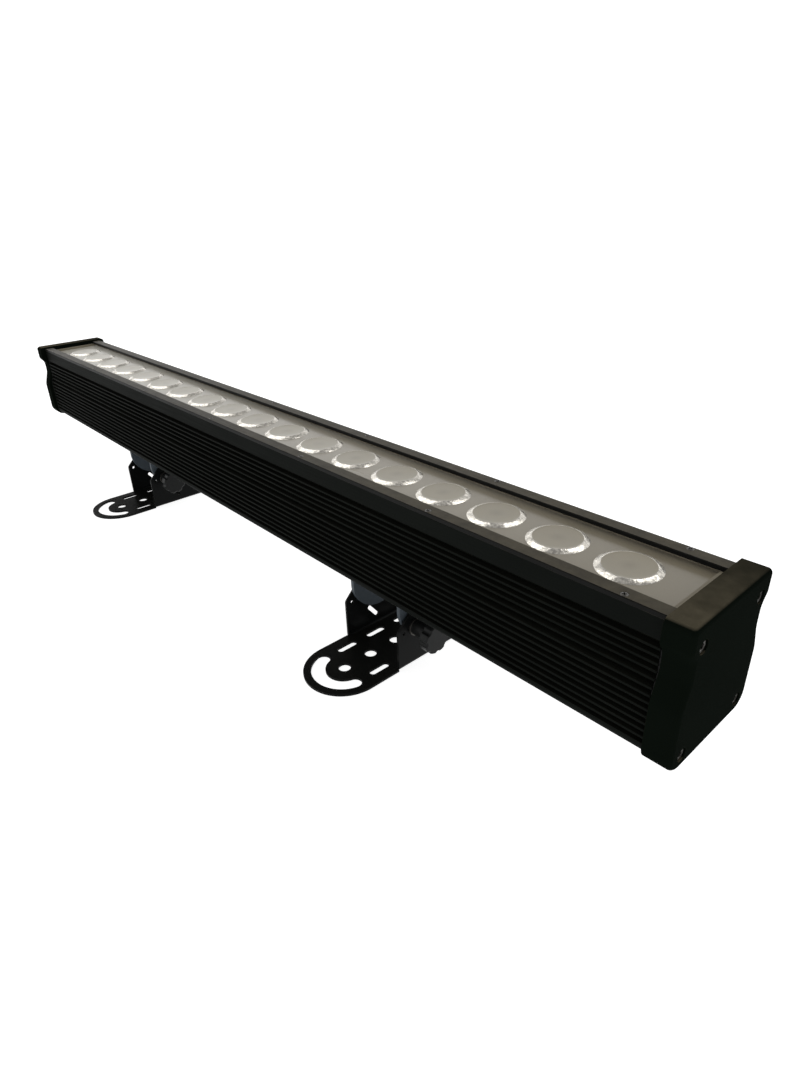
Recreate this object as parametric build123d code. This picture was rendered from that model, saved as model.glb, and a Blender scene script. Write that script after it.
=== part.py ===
"""LED batten light: a finned black wall washer bar on two tilting feet.

Frame: X along the bar, -Y towards the front, +Z up.
The origin lies on the floor, in the middle of the four outer base holes.
Sections are drawn about the bar's own centre plane, and add() shifts them into the frame.
"""
from build123d import *
import math
import os

# Bar: overall length and the heights of its cross-section above the floor
BAR_LENGTH = 1003.0
RIM_Z = 161.5
BODY_HEIGHT = 93.3

# Finned housing extrusion
BAND_HALF_WIDTH = 39.4
BAND_HEIGHT = 16.4
BELLY_BULGE = 3.1
FIN_DEPTH = 4.9
FIN_PITCH = 4.95
FIN_ROOT_THICKNESS = 2.3
FIN_TIP_THICKNESS = 1.5
FIRST_FIN_DROP = 21.8
PLAIN_EDGE_HEIGHT = 7.5
BELLY_START_DROP = 37.0
BELLY_FULL_DROP = 50.0
BELLY_STEPS = 4
BOTTOM_CORNER_RADIUS = 6.5
SIDE_WALL = 5.0
RIM_WALL = 6.1
WEB_DROP = 36.0
WEB_THICKNESS = 4.0
FLOOR_THICKNESS = 8.0

# Front: clamping strips, lens plate and its seal
STRIP_WIDTH = 10.8
STRIP_THICKNESS = 3.0
STRIP_END_GAP = 0.3
STRIP_EDGE = 0.5
PLATE_THICKNESS = 3.0
PLATE_SIDE_GAP = 0.3
SEAL_THICKNESS = 2.6
SEAL_SIDE_WIDTH = 1.4
SEAL_END_WIDTH = 3.5
STRIP_SCREW_END_INSET = 45.5
STRIP_SCREWS_PER_STRIP = 7
STRIP_SCREW_INSET = 3.0
STRIP_SCREW_RADIUS = 1.5
STRIP_SCREW_HEAD_RADIUS = 2.4
STRIP_SCREW_HEAD_HEIGHT = 1.2
STRIP_SCREW_REACH = 5.5

# Lenses and LED boards
LENS_COUNT = 18
LENS_END_INSET = 64.2
LENS_RADIUS = 20.2
LENS_BEVEL = 3.3
LENS_RISE = 1.9
LENS_SKIRT = 5.0
LENS_FOOT_RADIUS = 8.5
LENS_HOLE_GAP = 0.3
BOARD_THICKNESS = 1.6
BOARD_SIDE_GAP = 6.5
BOARD_GAP = 1.0
BOARD_END_MARGIN = 12.0
EMITTER_SIDE = 6.0
EMITTER_HEIGHT = 2.0
EMITTER_POCKET_RADIUS = 5.5
EMITTER_POCKET_HEIGHT = 3.0
BOARD_SCREW_INSET = 4.0
BOARD_SCREW_RADIUS = 1.5
BOARD_SCREW_HEAD_RADIUS = 2.75
BOARD_SCREW_HEAD_HEIGHT = 2.0
BOARD_SCREW_REACH = 3.2

# Driver and terminal block in the lower chamber
DRIVER_LENGTH = 300.0
DRIVER_WIDTH = 44.0
DRIVER_HEIGHT = 30.0
DRIVER_X = 40.0
DRIVER_CORNER = 3.0
DRIVER_TAB_LENGTH = 14.0
DRIVER_TAB_THICKNESS = 2.5
DRIVER_SCREW_INSET = 6.0
DRIVER_SCREW_RADIUS = 2.0
DRIVER_SCREW_HEAD_RADIUS = 3.5
DRIVER_SCREW_HEAD_HEIGHT = 2.5
DRIVER_SCREW_REACH = 5.0
TERMINAL_LENGTH = 34.0
TERMINAL_WIDTH = 18.0
TERMINAL_HEIGHT = 15.0
TERMINAL_END_INSET = 101.5
TERMINAL_WAYS = 3
TERMINAL_WEB = 4.5
TERMINAL_RECESS_WIDTH = 9.0
TERMINAL_RECESS_DEPTH = 5.0

# Cast end caps, gaskets and screws
CAP_DEPTH = 17.8
CAP_END_WALL = 7.0
CAP_RISE = 2.0
CAP_LIP_OVERHANG = 6.2
CAP_LIP_DROP = 14.0
CAP_WAIST_OVERHANG = 0.9
CAP_WAIST_TOP_DROP = 21.0
CAP_WAIST_BOTTOM_DROP = 34.0
CAP_BELLY_OVERHANG = 3.5
CAP_BELLY_DROP = 52.0
CAP_BOTTOM_OVERHANG = 3.4
CAP_TOP_RADIUS = 4.0
CAP_LIP_RADIUS = 6.0
CAP_WAIST_RADIUS = 9.0
CAP_BELLY_RADIUS = 22.0
CAP_BOTTOM_RADIUS = 12.0
CAP_EDGE_RADIUS = 3.0
GASKET_THICKNESS = 1.5
GASKET_INSET = 0.8
POCKET_INSET = 2.0
CAP_SCREW_WALL = 4.0
CAP_SCREW_TOP_DEPTH = 9.8
CAP_SCREW_BOTTOM_RISE = 6.8
CAP_SCREW_RADIUS = 2.0
CAP_SCREW_HEAD_RADIUS = 4.2
CAP_SCREW_HEAD_HEIGHT = 4.0
CAP_SCREW_REACH = 12.0
CAP_SCREW_GAP = 0.3
CAP_SCREW_SEAT = 5.0

# Cable gland in the far end cap
GLAND_DROP = 58.0
GLAND_STEM_RADIUS = 8.0
GLAND_STEM_GAP = 0.2
GLAND_ACROSS_FLATS = 22.0
GLAND_FLANGE_THICKNESS = 5.0
GLAND_NECK_RADIUS = 7.0
GLAND_NECK_LENGTH = 9.0
GLAND_BORE_RADIUS = 4.0
GLAND_NUT_RADIUS = 10.5
GLAND_NUT_LENGTH = 14.0
GLAND_NUT_HEX_LENGTH = 6.5
GLAND_LOCKNUT_THICKNESS = 4.0
THREAD_FIT = 0.05

# Feet: a base plate with two bent-up ears
FOOT_END_INSET = 270.5
FOOT_WIDTH = 69.5
SHEET = 2.0
BEND_RADIUS = 4.0
FOOT_HOLE_Y = -65.0
FOOT_BACK_Y = 50.0
FOOT_BACK_CORNER = 10.0
FOOT_HOLE_RADIUS = 5.25
FOOT_HOLE_PITCH = 28.5
FOOT_HOLE_COUNT = 4
ARC_SLOT_RADIUS = 22.2
ARC_SLOT_WIDTH = 12.0
ARC_SLOT_END_ANGLE = 17.0
SIDE_SLOT_OFFSET = 21.5
SIDE_SLOT_WIDTH = 6.2
SIDE_SLOT_LENGTH = 19.5
SIDE_SLOT_PITCH = 32.5
SIDE_SLOT_FIRST_Y = -45.2
SIDE_SLOT_COUNT = 3
EAR_HALF_WIDTH = 34.6
EAR_SHOULDER_BELOW_PIVOT = 16.0
EAR_TOP_HALF_WIDTH = 10.0
EAR_TOP_ABOVE_PIVOT = 9.0
EAR_SHOULDER_RADIUS = 5.0
EAR_SLIT_Y = -4.8
EAR_SLIT_Z = 15.2
EAR_SLIT_LENGTH = 17.5
EAR_SLIT_WIDTH = 3.8
EAR_SLIT_ANGLE = -52.0
EAR_HOLE_INSET = 6.6
EAR_HOLE_BELOW_SHOULDER = 2.5
EAR_HOLE_RADIUS = 1.6

# Tilt: saddle, pivot and clamp knob
PIVOT_DROP = 14.7
SADDLE_RADIUS = 29.0
SADDLE_SHEET = 3.5
SADDLE_SIDE_GAP = 1.5
SADDLE_BEND_RADIUS = 4.5
SADDLE_BOLT_SPACING = 34.0
SADDLE_BOLT_RADIUS = 3.0
SADDLE_BOLT_ACROSS_FLATS = 10.0
SADDLE_BOLT_HEAD_HEIGHT = 4.0
SADDLE_BOLT_REACH = 5.5
SADDLE_BOLT_TIP_GAP = 0.5
PIVOT_RADIUS = 4.0
RUNNING_FIT = 0.08
PIVOT_ACROSS_FLATS = 13.0
PIVOT_HEAD_HEIGHT = 5.5
PIVOT_NUT_HEIGHT = 6.5
PIVOT_THREAD_SHOW = 2.0
WASHER_RADIUS = 8.0
STUD_RADIUS = 3.0
STUD_EDGE = 6.5
STUD_ANGLE = 230.0
STUD_HEAD_RADIUS = 7.0
STUD_HEAD_HEIGHT = 4.0
STUD_END_COVER = 3.0
LOCK_SLOT_CLEARANCE = 0.4
LOCK_SLOT_OVERRUN = 2.0
LOCK_WASHER_THICKNESS = 1.5
TILT_FORWARD = 45.0
TILT_BACK = 12.0
KNOB_GAP = 0.2
KNOB_HUB_RADIUS = 7.0
KNOB_HUB_LENGTH = 16.0
KNOB_HEAD_RADIUS = 13.5
KNOB_HEAD_LENGTH = 8.0
KNOB_LOBES = 8
KNOB_FLUTE_RADIUS = 3.2
KNOB_FLUTE_DEPTH = 1.4
KNOB_EDGE = 1.0

# Sizes that follow from the ones above
HALF_LENGTH = BAR_LENGTH / 2
CAP_INNER_X = HALF_LENGTH - CAP_DEPTH
HOUSING_HALF_LENGTH = CAP_INNER_X - GASKET_THICKNESS
HOUSING_TOP_Z = RIM_Z - STRIP_THICKNESS
BODY_BOTTOM_Z = RIM_Z - BODY_HEIGHT
BELLY_HALF_WIDTH = BAND_HALF_WIDTH + BELLY_BULGE
FINNED_HEIGHT = BODY_HEIGHT - FIRST_FIN_DROP - PLAIN_EDGE_HEIGHT + FIN_TIP_THICKNESS / 2
FIN_COUNT = int(FINNED_HEIGHT / FIN_PITCH)
FIN_ROOT_HALF_WIDTH = BAND_HALF_WIDTH - FIN_DEPTH
CAVITY_HALF_WIDTH = FIN_ROOT_HALF_WIDTH - SIDE_WALL
PLATE_RECESS_Y = BAND_HALF_WIDTH - RIM_WALL
PLATE_HALF_WIDTH = PLATE_RECESS_Y - PLATE_SIDE_GAP
PLATE_TOP_Z = HOUSING_TOP_Z - SEAL_THICKNESS
PLATE_BOTTOM_Z = PLATE_TOP_Z - PLATE_THICKNESS
WEB_TOP_Z = RIM_Z - WEB_DROP
CHAMBER_TOP_Z = WEB_TOP_Z - WEB_THICKNESS
CHAMBER_FLOOR_Z = BODY_BOTTOM_Z + FLOOR_THICKNESS
STRIP_INNER_Y = BAND_HALF_WIDTH - STRIP_WIDTH
STRIP_SCREW_Y = BAND_HALF_WIDTH - STRIP_SCREW_INSET
BOARD_TOP_Z = WEB_TOP_Z + BOARD_THICKNESS
BOARD_HALF_WIDTH = CAVITY_HALF_WIDTH - BOARD_SIDE_GAP
BOARD_LENGTH = HOUSING_HALF_LENGTH - BOARD_END_MARGIN - BOARD_GAP / 2
LENS_TOP_Z = PLATE_TOP_Z + LENS_RISE
LENS_HOLE_RADIUS = LENS_RADIUS + LENS_HOLE_GAP
LENS_PITCH = (BAR_LENGTH - 2 * LENS_END_INSET) / (LENS_COUNT - 1)
LENS_XS = [(i - (LENS_COUNT - 1) / 2) * LENS_PITCH for i in range(LENS_COUNT)]
TERMINAL_X = TERMINAL_END_INSET - HALF_LENGTH
DRIVER_SCREW_Y = DRIVER_WIDTH / 2 - DRIVER_SCREW_INSET
CAP_SCREW_Y = CAVITY_HALF_WIDTH + CAP_SCREW_WALL
PIVOT_Z = BODY_BOTTOM_Z - PIVOT_DROP
EAR_TOP_Z = PIVOT_Z + EAR_TOP_ABOVE_PIVOT
EAR_SHOULDER_Z = PIVOT_Z - EAR_SHOULDER_BELOW_PIVOT
EAR_INNER_X = FOOT_WIDTH / 2 - SHEET
SADDLE_OUTER_X = EAR_INNER_X - SADDLE_SIDE_GAP
SADDLE_INNER_X = SADDLE_OUTER_X - SADDLE_SHEET
SADDLE_UNDERSIDE_Z = BODY_BOTTOM_Z - SADDLE_SHEET
STUD_ORBIT = SADDLE_RADIUS - STUD_EDGE
STUD_Y = STUD_ORBIT * math.cos(math.radians(STUD_ANGLE))
STUD_Z = PIVOT_Z + STUD_ORBIT * math.sin(math.radians(STUD_ANGLE))
KNOB_START_X = FOOT_WIDTH / 2 + LOCK_WASHER_THICKNESS + KNOB_GAP
KNOB_END_X = KNOB_START_X + KNOB_HUB_LENGTH + KNOB_HEAD_LENGTH
BASE_CENTRE_Y = FOOT_HOLE_Y + FOOT_HOLE_PITCH * (FOOT_HOLE_COUNT - 1) / 2
FOOT_X = HALF_LENGTH - FOOT_END_INSET
FOOT_XS = {"right": FOOT_X, "left": -FOOT_X}
SADDLE_BOLT_XS = [SADDLE_BOLT_SPACING / 2, -SADDLE_BOLT_SPACING / 2]
CAP_SCREW_PLACES = [
    (side * CAP_SCREW_Y, z)
    for side in (1, -1)
    for z in (HOUSING_TOP_Z - CAP_SCREW_TOP_DEPTH, BODY_BOTTOM_Z + CAP_SCREW_BOTTOM_RISE)
]
STRIP_SCREW_PITCH = (BAR_LENGTH - 2 * STRIP_SCREW_END_INSET) / (STRIP_SCREWS_PER_STRIP - 1)
STRIP_SCREW_XS = [
    (i - (STRIP_SCREWS_PER_STRIP - 1) / 2) * STRIP_SCREW_PITCH
    for i in range(STRIP_SCREWS_PER_STRIP)
]
ALONG_X = (1, 0, 0)
ALONG_Z = (0, 0, 1)

parts = {}


def add(name, *shapes):
    """Keep one node, made of one solid or of several like ones, in the shared frame."""
    shift = Pos(0, -BASE_CENTRE_Y, 0)
    solids = [shift * solid for shape in shapes for solid in shape.solids()]
    parts[name] = solids[0] if len(solids) == 1 else Compound(children=solids)
    parts[name].label = name


def box_between(low, high):
    """A box from its lowest corner to its highest one."""
    size = [b - a for a, b in zip(low, high)]
    middle = [(a + b) / 2 for a, b in zip(low, high)]
    return Pos(*middle) * Box(*size)


def rod(axis, start, length, radius):
    """A cylinder that starts at a point and runs along an axis."""
    return extrude(Plane(start, x_dir=(0, 1, 0), z_dir=axis) * Circle(radius), length)


def hex_bar(axis, start, length, across_flats):
    """A hexagon bar that starts at a point and runs along an axis."""
    hexagon = RegularPolygon(across_flats / 2, 6, major_radius=False)
    return extrude(Plane(start, x_dir=(0, 1, 0), z_dir=axis) * hexagon, length)


def along_bar(sketch, start, end):
    """Extrude a (Y, Z) section along X from one place to another."""
    return extrude(Plane((start, 0, 0), x_dir=(0, 1, 0), z_dir=ALONG_X) * sketch, end - start)


def section(points):
    """A closed (Y, Z) section through points."""
    return make_face(Polyline(*points, close=True))


def section_box(half_width, low, high):
    """A (Y, Z) rectangle centred on the bar."""
    return Pos(0, (low + high) / 2) * Rectangle(2 * half_width, high - low)


def mirrored(right_side):
    """Both sides of an outline that is given from top to bottom on +Y."""
    return right_side + [(-y, z) for y, z in reversed(right_side)]


def corner_fillet(sketch, y, z, radius):
    """Round the two mirrored corners of a section at (+-y, z)."""
    corners = [v for v in sketch.vertices()
               if abs(abs(v.X) - y) < 1e-4 and abs(v.Y - z) < 1e-4]
    return fillet(corners, radius)


def belly_width(drop):
    """Half width of the fin tips at a depth below the rim: waist, then belly."""
    share = (drop - BELLY_START_DROP) / (BELLY_FULL_DROP - BELLY_START_DROP)
    share = min(1.0, max(0.0, share))
    return BAND_HALF_WIDTH + BELLY_BULGE * share * share * (3 - 2 * share)


def fin_drop(index):
    """Depth of a fin's middle below the rim."""
    return FIRST_FIN_DROP + FIN_PITCH * index


def housing_outline():
    """Right half of the extrusion's outside: smooth band, fins, bottom corner."""
    band_z = RIM_Z - BAND_HEIGHT
    points = [(BAND_HALF_WIDTH, HOUSING_TOP_Z), (BAND_HALF_WIDTH, band_z), (FIN_ROOT_HALF_WIDTH, band_z)]
    for index in range(FIN_COUNT):
        z = RIM_Z - fin_drop(index)
        tip = belly_width(fin_drop(index))
        points.append((FIN_ROOT_HALF_WIDTH, z + FIN_ROOT_THICKNESS / 2))
        points.append((tip, z + FIN_TIP_THICKNESS / 2))
        points.append((tip, z - FIN_TIP_THICKNESS / 2))
        points.append((FIN_ROOT_HALF_WIDTH, z - FIN_ROOT_THICKNESS / 2))
    slab_top = RIM_Z - fin_drop(FIN_COUNT) + FIN_TIP_THICKNESS / 2
    points.append((FIN_ROOT_HALF_WIDTH, slab_top))
    points.append((BELLY_HALF_WIDTH, slab_top))
    points.append((BELLY_HALF_WIDTH, BODY_BOTTOM_Z))
    return points


def envelope(inset):
    """The extrusion's outline without its fins, drawn in by an inset."""
    step = (BELLY_FULL_DROP - BELLY_START_DROP) / BELLY_STEPS
    drops = [BELLY_START_DROP + step * index for index in range(BELLY_STEPS + 1)]
    bottom = (BELLY_HALF_WIDTH - inset, BODY_BOTTOM_Z + inset)
    side = [(BAND_HALF_WIDTH - inset, HOUSING_TOP_Z - inset)]
    side += [(belly_width(drop) - inset, RIM_Z - drop) for drop in drops]
    return corner_fillet(section(mirrored(side + [bottom])), *bottom, BOTTOM_CORNER_RADIUS)


def make_housing():
    """Finned extrusion with an optics channel above a web and a driver chamber below it."""
    face = section(mirrored(housing_outline()))
    face = corner_fillet(face, BELLY_HALF_WIDTH, BODY_BOTTOM_Z, BOTTOM_CORNER_RADIUS)
    face -= section_box(PLATE_RECESS_Y, PLATE_BOTTOM_Z, RIM_Z)
    face -= section_box(CAVITY_HALF_WIDTH, WEB_TOP_Z, RIM_Z)
    face -= section_box(CAVITY_HALF_WIDTH, CHAMBER_FLOOR_Z, CHAMBER_TOP_Z)
    for y, z in CAP_SCREW_PLACES:
        face -= Pos(y, z) * Circle(CAP_SCREW_RADIUS + THREAD_FIT)
    body = along_bar(face, -HOUSING_HALF_LENGTH, HOUSING_HALF_LENGTH)
    for x in STRIP_SCREW_XS:
        for side in (1, -1):
            start = (x, side * STRIP_SCREW_Y, HOUSING_TOP_Z - STRIP_SCREW_REACH)
            body -= rod(ALONG_Z, start, STRIP_SCREW_REACH, STRIP_SCREW_RADIUS + THREAD_FIT)
    for x, y in board_screw_places():
        body -= rod(ALONG_Z, (x, y, CHAMBER_TOP_Z), WEB_THICKNESS, BOARD_SCREW_RADIUS + THREAD_FIT)
    for x, y in driver_screw_places():
        start = (x, y, CHAMBER_FLOOR_Z - DRIVER_SCREW_REACH)
        body -= rod(ALONG_Z, start, DRIVER_SCREW_REACH, DRIVER_SCREW_RADIUS + THREAD_FIT)
    bolt_hole = SADDLE_BOLT_REACH + SADDLE_BOLT_TIP_GAP
    for foot in FOOT_XS.values():
        for x in SADDLE_BOLT_XS:
            start = (foot + x, 0, BODY_BOTTOM_Z)
            body -= rod(ALONG_Z, start, bolt_hole, SADDLE_BOLT_RADIUS + THREAD_FIT)
    add("housing", body)


def cap_outline():
    """Outside of an end cap: wide lip, waist, belly and rounded bottom."""
    lip = BAND_HALF_WIDTH + CAP_LIP_OVERHANG
    waist = BAND_HALF_WIDTH + CAP_WAIST_OVERHANG
    belly = BELLY_HALF_WIDTH + CAP_BELLY_OVERHANG
    corners = [
        (lip, RIM_Z + CAP_RISE, CAP_TOP_RADIUS),
        (lip, RIM_Z - CAP_LIP_DROP, CAP_LIP_RADIUS),
        (waist, RIM_Z - CAP_WAIST_TOP_DROP, CAP_WAIST_RADIUS),
        (waist, RIM_Z - CAP_WAIST_BOTTOM_DROP, CAP_BELLY_RADIUS),
        (belly, RIM_Z - CAP_BELLY_DROP, CAP_BELLY_RADIUS),
        (belly, BODY_BOTTOM_Z - CAP_BOTTOM_OVERHANG, CAP_BOTTOM_RADIUS),
    ]
    face = section(mirrored([(y, z) for y, z, _ in corners]))
    for y, z, radius in corners:
        face = corner_fillet(face, y, z, radius)
    return face


def wiring_pocket():
    """Opening that joins the chambers of housing, gasket and end cap."""
    low = CHAMBER_FLOOR_Z + POCKET_INSET
    return section_box(CAVITY_HALF_WIDTH - POCKET_INSET, low, PLATE_BOTTOM_Z - POCKET_INSET)


def make_end(name, side):
    """One end: gasket, cast cap with rounded outer edge and screw seats."""
    inner = side * CAP_INNER_X
    outer = side * HALF_LENGTH
    gasket = envelope(GASKET_INSET) - wiring_pocket()
    for y, z in CAP_SCREW_PLACES:
        gasket -= Pos(y, z) * Circle(CAP_SCREW_RADIUS + CAP_SCREW_GAP)
    add(f"end_gasket_{name}", along_bar(gasket, side * HOUSING_HALF_LENGTH, inner))
    cap = along_bar(cap_outline(), inner, outer)
    rim = cap.faces().sort_by(Axis.X)[-1 if side > 0 else 0].edges()
    cap = fillet(rim, CAP_EDGE_RADIUS)
    cap -= along_bar(wiring_pocket(), inner, outer - side * CAP_END_WALL)
    for y, z in CAP_SCREW_PLACES:
        shank = Pos(y, z) * Circle(CAP_SCREW_RADIUS + CAP_SCREW_GAP)
        seat = Pos(y, z) * Circle(CAP_SCREW_HEAD_RADIUS + CAP_SCREW_GAP)
        cap -= along_bar(shank, inner, outer)
        cap -= along_bar(seat, outer - side * CAP_SCREW_SEAT, outer)
    if name == "left":
        bore = Pos(0, RIM_Z - GLAND_DROP) * Circle(GLAND_STEM_RADIUS + GLAND_STEM_GAP)
        cap -= along_bar(bore, inner, outer)
    add(f"end_cap_{name}", cap)


def make_cap_screws():
    """Cheese-head screws that hold both end caps on the housing's screw ports."""
    screws = []
    for side in (1, -1):
        seat = side * (HALF_LENGTH - CAP_SCREW_SEAT)
        tip = side * (HOUSING_HALF_LENGTH - CAP_SCREW_REACH)
        for y, z in CAP_SCREW_PLACES:
            shank = along_bar(Pos(y, z) * Circle(CAP_SCREW_RADIUS), tip, seat)
            head = Pos(y, z) * Circle(CAP_SCREW_HEAD_RADIUS)
            screws.append(shank + along_bar(head, seat, seat + side * CAP_SCREW_HEAD_HEIGHT))
    add("end_cap_screws", *screws)


def make_plate():
    """Lens plate with its round holes, and the seal frame between it and the strips."""
    plate = along_bar(section_box(PLATE_HALF_WIDTH, PLATE_BOTTOM_Z, PLATE_TOP_Z),
                      -HOUSING_HALF_LENGTH, HOUSING_HALF_LENGTH)
    for x in LENS_XS:
        plate -= rod(ALONG_Z, (x, 0, PLATE_BOTTOM_Z), PLATE_THICKNESS, LENS_HOLE_RADIUS)
    add("lens_plate", plate)
    seal = box_between((-HOUSING_HALF_LENGTH, -PLATE_HALF_WIDTH, PLATE_TOP_Z),
                       (HOUSING_HALF_LENGTH, PLATE_HALF_WIDTH, HOUSING_TOP_Z))
    seal_end = HOUSING_HALF_LENGTH - SEAL_END_WIDTH
    seal_side = PLATE_HALF_WIDTH - SEAL_SIDE_WIDTH
    seal -= box_between((-seal_end, -seal_side, PLATE_TOP_Z), (seal_end, seal_side, HOUSING_TOP_Z))
    add("plate_seal", seal)


def make_strips():
    """Two strips that clamp the lens plate, and the screws sunk in them."""
    end = CAP_INNER_X - STRIP_END_GAP
    seat = RIM_Z - STRIP_SCREW_HEAD_HEIGHT
    tip = HOUSING_TOP_Z - STRIP_SCREW_REACH
    screws = []
    for name, side in (("front", -1), ("back", 1)):
        low = min(side * STRIP_INNER_Y, side * BAND_HALF_WIDTH)
        strip = box_between((-end, low, HOUSING_TOP_Z), (end, low + STRIP_WIDTH, RIM_Z))
        strip = chamfer(strip.edges().filter_by(Axis.X).group_by(Axis.Z)[-1], STRIP_EDGE)
        for x in STRIP_SCREW_XS:
            y = side * STRIP_SCREW_Y
            hole = STRIP_SCREW_RADIUS + THREAD_FIT
            sink = STRIP_SCREW_HEAD_RADIUS + THREAD_FIT
            strip -= rod(ALONG_Z, (x, y, HOUSING_TOP_Z), STRIP_THICKNESS, hole)
            strip -= rod(ALONG_Z, (x, y, seat), STRIP_SCREW_HEAD_HEIGHT, sink)
            screw = rod(ALONG_Z, (x, y, tip), seat - tip, STRIP_SCREW_RADIUS)
            screw += rod(ALONG_Z, (x, y, seat), STRIP_SCREW_HEAD_HEIGHT, STRIP_SCREW_HEAD_RADIUS)
            screws.append(screw)
        add(f"clamp_strip_{name}", strip)
    add("clamp_strip_screws", *screws)


def make_lenses():
    """Collimator lenses that stand on the boards and rise through the plate."""
    skirt_z = PLATE_BOTTOM_Z - LENS_SKIRT
    pocket_z = BOARD_TOP_Z + EMITTER_POCKET_HEIGHT
    profile = make_face(Polyline(
        (0, 0, pocket_z), (EMITTER_POCKET_RADIUS, 0, pocket_z), (EMITTER_POCKET_RADIUS, 0, BOARD_TOP_Z),
        (LENS_FOOT_RADIUS, 0, BOARD_TOP_Z), (LENS_RADIUS, 0, skirt_z), (LENS_RADIUS, 0, PLATE_TOP_Z),
        (LENS_RADIUS - LENS_BEVEL, 0, LENS_TOP_Z), (0, 0, LENS_TOP_Z), close=True))
    lens = revolve(profile, Axis.Z)
    for index, x in enumerate(reversed(LENS_XS), start=1):
        add(f"lens_{index:02d}", Pos(x, 0, 0) * lens)


def board_screw_places():
    """Four screws for each board, in the gaps between lenses near its ends."""
    first = LENS_PITCH
    last = LENS_PITCH * (LENS_COUNT / 2 - 1)
    y = BOARD_HALF_WIDTH - BOARD_SCREW_INSET
    return [(end * x, side * y) for end in (1, -1) for x in (first, last) for side in (1, -1)]


def make_boards():
    """Two LED boards on the housing's web, their emitters and screws."""
    for index, end in ((1, 1), (2, -1)):
        low, high = sorted((end * BOARD_GAP / 2, end * (BOARD_GAP / 2 + BOARD_LENGTH)))
        board = box_between((low, -BOARD_HALF_WIDTH, WEB_TOP_Z), (high, BOARD_HALF_WIDTH, BOARD_TOP_Z))
        for x, y in board_screw_places():
            board -= rod(ALONG_Z, (x, y, WEB_TOP_Z), BOARD_THICKNESS, BOARD_SCREW_RADIUS + THREAD_FIT)
        add(f"led_board_{index}", board)
    half = EMITTER_SIDE / 2
    emitters = [box_between((x - half, -half, BOARD_TOP_Z), (x + half, half, BOARD_TOP_Z + EMITTER_HEIGHT))
                for x in LENS_XS]
    add("led_emitters", *emitters)
    screws = []
    for x, y in board_screw_places():
        tip = WEB_TOP_Z - BOARD_SCREW_REACH
        screw = rod(ALONG_Z, (x, y, tip), BOARD_TOP_Z - tip, BOARD_SCREW_RADIUS)
        screw += rod(ALONG_Z, (x, y, BOARD_TOP_Z), BOARD_SCREW_HEAD_HEIGHT, BOARD_SCREW_HEAD_RADIUS)
        screws.append(screw)
    add("led_board_screws", *screws)


def driver_screw_places():
    """Two screws in each end tab of the driver."""
    reach = DRIVER_LENGTH / 2 + DRIVER_TAB_LENGTH / 2
    return [(DRIVER_X + end * reach, side * DRIVER_SCREW_Y) for end in (1, -1) for side in (1, -1)]


def make_driver():
    """LED driver case with end tabs, and its screws."""
    outline = RectangleRounded(DRIVER_WIDTH, DRIVER_HEIGHT, DRIVER_CORNER)
    face = Pos(0, CHAMBER_FLOOR_Z + DRIVER_HEIGHT / 2) * outline
    case = along_bar(face, DRIVER_X - DRIVER_LENGTH / 2, DRIVER_X + DRIVER_LENGTH / 2)
    reach = DRIVER_LENGTH / 2 + DRIVER_TAB_LENGTH
    tab_half = DRIVER_WIDTH / 2 - DRIVER_CORNER / 2
    tab_top = CHAMBER_FLOOR_Z + DRIVER_TAB_THICKNESS
    case += box_between((DRIVER_X - reach, -tab_half, CHAMBER_FLOOR_Z), (DRIVER_X + reach, tab_half, tab_top))
    screws = []
    for x, y in driver_screw_places():
        case -= rod(ALONG_Z, (x, y, CHAMBER_FLOOR_Z), DRIVER_TAB_THICKNESS, DRIVER_SCREW_RADIUS + THREAD_FIT)
        tip = CHAMBER_FLOOR_Z - DRIVER_SCREW_REACH
        screw = rod(ALONG_Z, (x, y, tip), tab_top - tip, DRIVER_SCREW_RADIUS)
        screw += rod(ALONG_Z, (x, y, tab_top), DRIVER_SCREW_HEAD_HEIGHT, DRIVER_SCREW_HEAD_RADIUS)
        screws.append(screw)
    add("driver", case)
    add("driver_screws", *screws)


def make_terminal_block():
    """Terminal block on the chamber floor, with one recess for each way."""
    top = CHAMBER_FLOOR_Z + TERMINAL_HEIGHT
    half_length = TERMINAL_LENGTH / 2
    half_width = TERMINAL_WIDTH / 2
    block = box_between((TERMINAL_X - half_length, -half_width, CHAMBER_FLOOR_Z),
                        (TERMINAL_X + half_length, half_width, top))
    way = TERMINAL_LENGTH / TERMINAL_WAYS
    reach = (way - TERMINAL_WEB) / 2
    side = TERMINAL_RECESS_WIDTH / 2
    for index in range(TERMINAL_WAYS):
        x = TERMINAL_X + (index - (TERMINAL_WAYS - 1) / 2) * way
        block -= box_between((x - reach, -side, top - TERMINAL_RECESS_DEPTH), (x + reach, side, top))
    add("terminal_block", block)


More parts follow.
